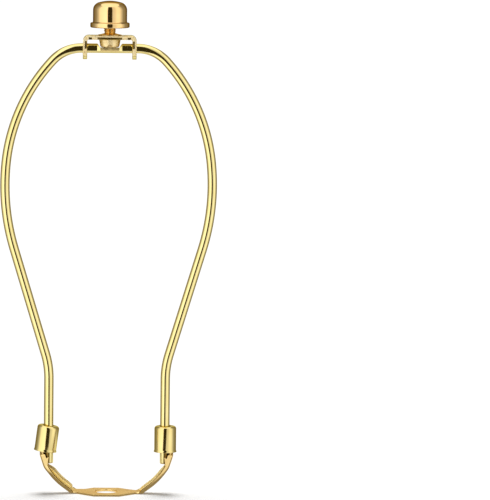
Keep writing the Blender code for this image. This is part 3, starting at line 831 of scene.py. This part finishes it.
def insert_outline():
    """Tapped hub on a disc that fills the rim."""
    bore = THREAD_RADIUS + FIT_GAP / 3
    disc = RIM_DIAMETER / 2 - SHELL
    hub = HUB_DIAMETER / 2
    edge = BORE_CHAMFER
    inside = [(bore, HUB_HEIGHT), (bore, edge)] + corner((bore + edge, edge), edge, 180, 270, EASE_STEPS)
    return inside + [(disc, 0), (disc, DISC_THICKNESS), (hub, DISC_THICKNESS), (hub, HUB_HEIGHT)]


def cap_outline():
    """Half outline of the drawn shell, from the crown down over the rim and back up inside."""
    dome = DOME_DIAMETER / 2
    rim = RIM_DIAMETER / 2
    wall = dome - DOME_ROUND
    middle = DOME_HEIGHT - CROWN_RADIUS
    shoulder = middle + math.sqrt((CROWN_RADIUS - DOME_ROUND) ** 2 - wall**2)
    tilt = math.degrees(math.asin(wall / (CROWN_RADIUS - DOME_ROUND)))
    crown = corner((0, middle), CROWN_RADIUS, 90, 90 - tilt, CROWN_STEPS)[:-1]
    outside = corner((wall, shoulder), DOME_ROUND, 90 - tilt, 0, DOME_STEPS)
    ledge = corner((dome + LEDGE_ROUND, RIM_HEIGHT + LEDGE_ROUND), LEDGE_ROUND, 180, 270, LEDGE_STEPS)
    edge = corner((rim - RIM_ROUND, RIM_HEIGHT - RIM_ROUND), RIM_ROUND, 90, 0)
    foot = corner((rim - RIM_ROUND, RIM_ROUND), RIM_ROUND, 0, -90)
    recess = [(rim - SHELL, 0), (rim - SHELL, RIM_HEIGHT - SHELL), (dome - SHELL, RIM_HEIGHT - SHELL)]
    inside = corner((wall, shoulder), DOME_ROUND - SHELL, 0, 90 - tilt)
    return crown + outside + ledge + edge + foot + recess + inside + [(0, DOME_HEIGHT - SHELL)]


def build_finial():
    """The finial: a tapped insert in a drawn cap."""
    place = (0, 0, FINIAL_Z)
    hub = revolve(insert_outline(), closed=True, segments=SMALL_SEGMENTS)
    insert = add_piece("tapped_insert", hub, place)
    cap = add_piece("drawn_cap", revolve(cap_outline(), closed=False), place)
    return insert, cap


# Nodes

def link(tree, source, target):
    """Join two sockets."""
    tree.links.new(source, target)


def feed(tree, value, socket):
    """Set a socket to a number, or join it to another socket."""
    if isinstance(value, (int, float)):
        socket.default_value = value
    else:
        link(tree, value, socket)


def math_node(tree, operation, *values):
    """Result of a math node on values, which are sockets or numbers."""
    node = tree.nodes.new("ShaderNodeMath")
    node.operation = operation
    for socket, value in zip(node.inputs, values):
        feed(tree, value, socket)
    return node.outputs[0]


def map_range(tree, value, span, low=0.0, high=1.0):
    """A value brought from a span to a range."""
    node = tree.nodes.new("ShaderNodeMapRange")
    for name, number in zip(("From Min", "From Max", "To Min", "To Max"), (*span, low, high)):
        node.inputs[name].default_value = number
    link(tree, value, node.inputs["Value"])
    return node.outputs["Result"]


def blend(tree, factor, first, second):
    """Blend of two values by a factor."""
    node = tree.nodes.new("ShaderNodeMix")
    for name, value in (("Factor", factor), ("A", first), ("B", second)):
        feed(tree, value, node.inputs[name])
    return node.outputs["Result"]


def blend_colours(tree, factor, first, second):
    """Blend of two colours by a factor."""
    node = tree.nodes.new("ShaderNodeMix")
    node.data_type = "RGBA"
    link(tree, factor, node.inputs["Factor"])
    for socket, colour in zip((node.inputs[6], node.inputs[7]), (first, second)):
        socket.default_value = (*colour, 1.0)
    return node.outputs[2]


def noise(tree, coords, scale, detail, stretch=(1, 1, 1)):
    """Noise in the object's own space, stretched along its axes."""
    mapping = tree.nodes.new("ShaderNodeMapping")
    mapping.inputs["Scale"].default_value = stretch
    link(tree, coords, mapping.inputs["Vector"])
    texture = tree.nodes.new("ShaderNodeTexNoise")
    texture.inputs["Scale"].default_value = scale
    texture.inputs["Detail"].default_value = detail
    link(tree, mapping.outputs["Vector"], texture.inputs["Vector"])
    return texture.outputs["Fac"]


def relief_of(tree, height, strength, distance):
    """Bump node that raises a surface by a height."""
    node = tree.nodes.new("ShaderNodeBump")
    node.inputs["Strength"].default_value = strength
    node.inputs["Distance"].default_value = distance
    link(tree, height, node.inputs["Height"])
    return node


# Metal finishes

def brass(name, pale, deep, roughness, brush, ripple, edge):
    """Plated metal: drifting tone, patchy polish, fine drawing marks and a slight ripple."""
    material = bpy.data.materials.new(name)
    material.use_nodes = True
    tree = material.node_tree
    shader = tree.nodes["Principled BSDF"]
    shader.inputs["Metallic"].default_value = 1.0
    shader.inputs["Specular Tint"].default_value = (*edge, 1.0)
    coords = tree.nodes.new("ShaderNodeTexCoord").outputs["Object"]
    tone = map_range(tree, noise(tree, coords, *TONE_NOISE), NOISE_SPAN)
    link(tree, blend_colours(tree, tone, deep, pale), shader.inputs["Base Color"])
    low, high = (roughness * share for share in POLISH_SPREAD)
    polish = map_range(tree, noise(tree, coords, *POLISH_NOISE), NOISE_SPAN, low, high)
    link(tree, polish, shader.inputs["Roughness"])
    marks = noise(tree, coords, *BRUSH_NOISE, brush)
    fine = relief_of(tree, marks, BRUSH_STRENGTH, BRUSH_DEPTH + ripple * BRUSH_SHARE)
    broad = relief_of(tree, noise(tree, coords, *RIPPLE_NOISE), 1.0, ripple)
    link(tree, fine.outputs["Normal"], broad.inputs["Normal"])
    link(tree, broad.outputs["Normal"], shader.inputs["Normal"])
    return material


def on_arm(face):
    """Whether a face of the saddle is on one of its arms, below the crook."""
    return abs(face.center.x) > ARM_START and face.center.z < ARM_TOP


def looks_inward(face):
    """Whether a face of the saddle looks towards the middle of the harp."""
    return -math.copysign(1, face.center.x) * face.normal.x > INWARD_TURN


def is_plate_top(face):
    """Whether a face of the saddle is on top of its plate."""
    return face.normal.z > FLAT_TURN and abs(face.center.x) < PLATE_LENGTH / 2


def is_inside(face):
    """Whether a face of the saddle is inside the channel of an arm, on its floor or its rear wall."""
    between = abs(face.center.y) < CHANNEL_HALF - SHEET
    floor = looks_inward(face) and face.normal.z > FLOOR_TURN and between
    wall = face.center.y > 0 and face.normal.y < -INWARD_TURN
    return on_arm(face) and (floor or wall)


def is_lip(face):
    """Whether a face is the cut edge of the front flange of one of the saddle's arms."""
    at_edge = face.center.y < -(CHANNEL_HALF - LIP_SHARE * SHEET)
    return on_arm(face) and looks_inward(face) and at_edge


def is_seat(face):
    """Whether a face of the wire is on the pressed seat in the middle of the crown."""
    return abs(face.center.x) < SEAT_HALF and face.center.z > CROWN_Z - SEAT_SIDE * WIRE_RADIUS


def is_leg_shade(face, top):
    """Whether a face of the wire is on the outer side of a leg, below a height, where shade is painted."""
    return abs(face.center.x) > LEG_X - LEG_SHADE_SIDE and face.center.z < top


def is_cut_edge(face):
    """Whether a face of the strap is on its front or rear cut edge."""
    return abs(face.normal.y) > CUT_TURN and abs(face.center.y) > CUT_START


def is_strap_shade(face):
    """Whether a face of the strap belongs to the painted shade on its cut edges."""
    if not is_cut_edge(face):
        return False
    x = abs(face.center.x)
    z = face.center.z
    if x > STRAP_WIDTH / 2 - STRAP_SHEET and CROWN_Z < z < HARP_HEIGHT - STRAP_BEND:
        return x < STRAP_WIDTH / 2 - STRAP_SHADE_EDGE
    return z < HARP_HEIGHT - STRAP_SHADE_EDGE and (x < STRAP_SHADE_WIDTH or STRAP_SHADE_SPOTS[0] < x < STRAP_SHADE_SPOTS[1])


def is_below_strap(face):
    """Whether a face of the stud is on its head, below the strap."""
    return face.center.z < STRAP_UNDERSIDE


def second_finish(piece, material, test):
    """Give a piece's faces that pass a test another material."""
    piece.data.materials.append(material)
    for face in piece.data.polygons:
        if test(face):
            face.material_index = len(piece.data.materials) - 1


# Set

def shine_rays(tree):
    """1 for what the camera sees, straight or in metal or glass."""
    path = tree.nodes.new("ShaderNodeLightPath")
    seen = path.outputs["Is Camera Ray"]
    for output in ("Is Glossy Ray", "Is Transmission Ray"):
        seen = math_node(tree, "MAXIMUM", seen, path.outputs[output])
    return seen


def build_world():
    """White world with a plain light level for matt surfaces."""
    world = bpy.data.worlds.new("studio_air")
    world.use_nodes = True
    tree = world.node_tree
    background = tree.nodes["Background"]
    background.inputs["Color"].default_value = (1, 1, 1, 1)
    strength = math_node(tree, "MULTIPLY_ADD", shine_rays(tree), 1 - WORLD_LEVEL, WORLD_LEVEL)
    link(tree, strength, background.inputs["Strength"])
    bpy.context.scene.world = world


def build_floor():
    """White floor that keeps the shadow."""
    bm = bmesh.new()
    bmesh.ops.create_grid(bm, x_segments=1, y_segments=1, size=FLOOR_HALF)
    floor = add_piece("floor", bm)
    material = bpy.data.materials.new("floor_white")
    material.use_nodes = True
    tree = material.node_tree
    tree.nodes.remove(tree.nodes["Principled BSDF"])
    output = tree.nodes["Material Output"]
    matt = tree.nodes.new("ShaderNodeBsdfDiffuse")
    matt.inputs["Color"].default_value = (FLOOR_ALBEDO, FLOOR_ALBEDO, FLOOR_ALBEDO, 1)
    glow = tree.nodes.new("ShaderNodeEmission")
    link(tree, math_node(tree, "MULTIPLY", shine_rays(tree), FLOOR_GLOW), glow.inputs["Strength"])
    both = tree.nodes.new("ShaderNodeAddShader")
    link(tree, matt.outputs[0], both.inputs[0])
    link(tree, glow.outputs[0], both.inputs[1])
    link(tree, both.outputs[0], output.inputs["Surface"])
    floor.data.materials.append(material)


def build_sun():
    """Soft light from above and a little behind."""
    lamp = bpy.data.lights.new("overhead", "SUN")
    lamp.energy = SUN_LEVEL * math.pi / math.cos(SUN_TILT)
    lamp.angle = SUN_ANGLE
    holder = bpy.data.objects.new("overhead", lamp)
    holder.rotation_euler = (-SUN_TILT, 0, 0)
    holder.visible_glossy = False
    bpy.context.scene.collection.objects.link(holder)


def shining_material(name):
    """A material that only shines, and its emission node."""
    material = bpy.data.materials.new(name)
    material.use_nodes = True
    tree = material.node_tree
    tree.nodes.remove(tree.nodes["Principled BSDF"])
    glow = tree.nodes.new("ShaderNodeEmission")
    link(tree, glow.outputs[0], tree.nodes["Material Output"].inputs["Surface"])
    material.cycles.emission_sampling = "NONE"
    return material, glow


def wall_level(tree, split):
    """Brightness of the tent's walls at an azimuth."""
    front = math_node(tree, "MULTIPLY", split.outputs["Y"], -1.0)
    azimuth = math_node(tree, "ARCTAN2", split.outputs["X"], front)
    part = math_node(tree, "MULTIPLY_ADD", azimuth, 1 / math.tau, 0.5)
    walls = tree.nodes.new("ShaderNodeValToRGB")
    elements = walls.color_ramp.elements
    top = max(level for _, level in TENT_WALLS)
    for i, (degrees, level) in enumerate(TENT_WALLS):
        position = degrees / 360 + 0.5
        stop = elements[i] if i < 2 else elements.new(position)
        stop.position = position
        stop.color = (level / top, level / top, level / top, 1)
    link(tree, part, walls.inputs["Fac"])
    return math_node(tree, "MULTIPLY", walls.outputs["Color"], top)


def floor_level(tree, split):
    """Brightness of the tent's floor close to the harp, with a painted shadow that makes it darker under the
    bow than beside it.
    """
    depth = math_node(tree, "ABSOLUTE", split.outputs["Y"])
    return map_range(tree, depth, (SHADE_DEPTH, SHADE_DEPTH + SHADE_FADE), SHADE_LEVEL, NEAR_LEVEL)


def build_tent():
    """A light tent that only metal sees: bright in front at both sides, with a slit for the camera."""
    curve_start = TENT_RADIUS - TENT_CURVE
    outline = [(TENT_INNER, TENT_FLOOR), (curve_start, TENT_FLOOR)]
    outline += corner((curve_start, TENT_FLOOR + TENT_CURVE), TENT_CURVE, -90, 0, TENT_STEPS)
    outline += [(TENT_RADIUS, TENT_HEIGHT), (0, TENT_HEIGHT)]
    tent = add_piece("light_tent", revolve(outline, closed=False, segments=TENT_SEGMENTS))
    material, glow = shining_material("tent_cloth")
    tree = material.node_tree
    coords = tree.nodes.new("ShaderNodeTexCoord").outputs["Object"]
    split = tree.nodes.new("ShaderNodeSeparateXYZ")
    link(tree, coords, split.inputs[0])
    away = tree.nodes.new("ShaderNodeVectorMath")
    away.operation = "LENGTH"
    link(tree, coords, away.inputs[0])
    rise = map_range(tree, split.outputs["Z"], (TENT_SLIT_TOP, TENT_SLIT_TOP + TENT_SLIT_FADE))
    rise.node.interpolation_type = "SMOOTHSTEP"
    wall = blend(tree, rise, wall_level(tree, split), TENT_CEILING)
    near = map_range(tree, away.outputs["Value"], (NEAR_START, NEAR_END))
    level = blend(tree, near, floor_level(tree, split), wall)
    link(tree, level, glow.inputs["Strength"])
    shade = map_range(tree, level, TENT_SHADE_SPAN)
    link(tree, blend_colours(tree, shade, TENT_SHADE, (1, 1, 1)), glow.inputs["Color"])
    tent.data.materials.append(material)
    metal_only(tent)


def build_card():
    """A low white card behind the saddle that only metal sees."""
    bm = bmesh.new()
    place = Matrix.Translation((0, CARD_PLACE, CARD_HEIGHT / 2 + CARD_LIFT))
    upright = Matrix.Rotation(math.pi / 2, 4, "X")
    size = Matrix.Diagonal((CARD_WIDTH, CARD_HEIGHT, 1, 1))
    bmesh.ops.create_grid(bm, x_segments=1, y_segments=1, size=0.5, matrix=place @ upright @ size)
    card = add_piece("low_card", bm)
    material, glow = shining_material("card_white")
    glow.inputs["Strength"].default_value = CARD_LEVEL
    card.data.materials.append(material)
    metal_only(card)


def metal_only(item):
    """Keep a part of the set out of everything but reflections in the metal."""
    item.visible_camera = False
    item.visible_diffuse = False
    item.visible_transmission = False
    item.visible_shadow = False


def build_camera():
    """The photograph's view: yaw to the right, pitch down, roll."""
    lens = bpy.data.cameras.new("camera")
    lens.lens = CAMERA_LENS
    lens.sensor_width = SENSOR_WIDTH
    lens.clip_start = CLIP_START
    camera = bpy.data.objects.new("camera", lens)
    bpy.context.scene.collection.objects.link(camera)
    turn = Matrix.Rotation(-CAMERA_YAW, 4, "Z") @ Matrix.Rotation(math.pi / 2 - CAMERA_PITCH, 4, "X")
    camera.matrix_world = Matrix.Translation(CAMERA_PLACE) @ turn @ Matrix.Rotation(CAMERA_ROLL, 4, "Z")
    bpy.context.scene.camera = camera


def dress(piece, material, body, node):
    """Give a piece its finish and let it stand for its solid."""
    piece.data.materials.clear()
    piece.data.materials.append(material)
    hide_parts(node)
    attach(piece, body)


def main():
    """Dress every solid and build the set."""
    finish = {name: brass(name, *values) for name, values in FINISHES.items()}
    left, right = build_ferrules()
    insert, cap = build_finial()
    saddle = build_saddle()
    dress(saddle, finish["satin_brass"], "saddle", "harp_saddle")
    second_finish(saddle, finish["plate_brass"], is_plate_top)
    # Painted highlight on the channel's floor and rear wall
    second_finish(saddle, finish["inner_brass"], is_inside)
    second_finish(saddle, finish["lip_brass"], is_lip)
    wire = build_wire()
    dress(wire, finish["polished_brass"], "bow", "harp_wire")
    second_finish(wire, finish["sheared_brass"], is_seat)
    # Painted shade on the outer side of the leg ends, for the shade inside the troughs
    leg_shade_top = wire_end() + LEG_SHADE_LENGTH
    second_finish(wire, finish["worn_brass"], lambda face: is_leg_shade(face, leg_shade_top))
    dress(left, finish["drawn_brass"], "left_sleeve", "left_ferrule")
    dress(right, finish["drawn_brass"], "right_sleeve", "right_ferrule")
    bracket = build_bracket()
    dress(bracket, finish["polished_brass"], "swivel", "swivel_bracket")
    second_finish(bracket, finish["rolled_brass"], is_cut_edge)
    # Painted shade on the strap's cut edges, below the stud and on the ears
    second_finish(bracket, finish["worn_brass"], is_strap_shade)
    stud = build_stud()
    dress(stud, finish["turned_brass"], "swivel", "finial_stud")
    second_finish(stud, finish["matte_brass"], is_below_strap)
    dress(insert, finish["turned_brass"], "finial_climb", "finial_insert")
    dress(cap, finish["warm_gold"], "finial_turn", "finial_cap")
    build_camera()
    build_world()
    build_floor()
    build_sun()
    build_tent()
    build_card()
    bpy.context.scene.view_settings.view_transform = "Standard"
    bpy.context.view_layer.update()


main()
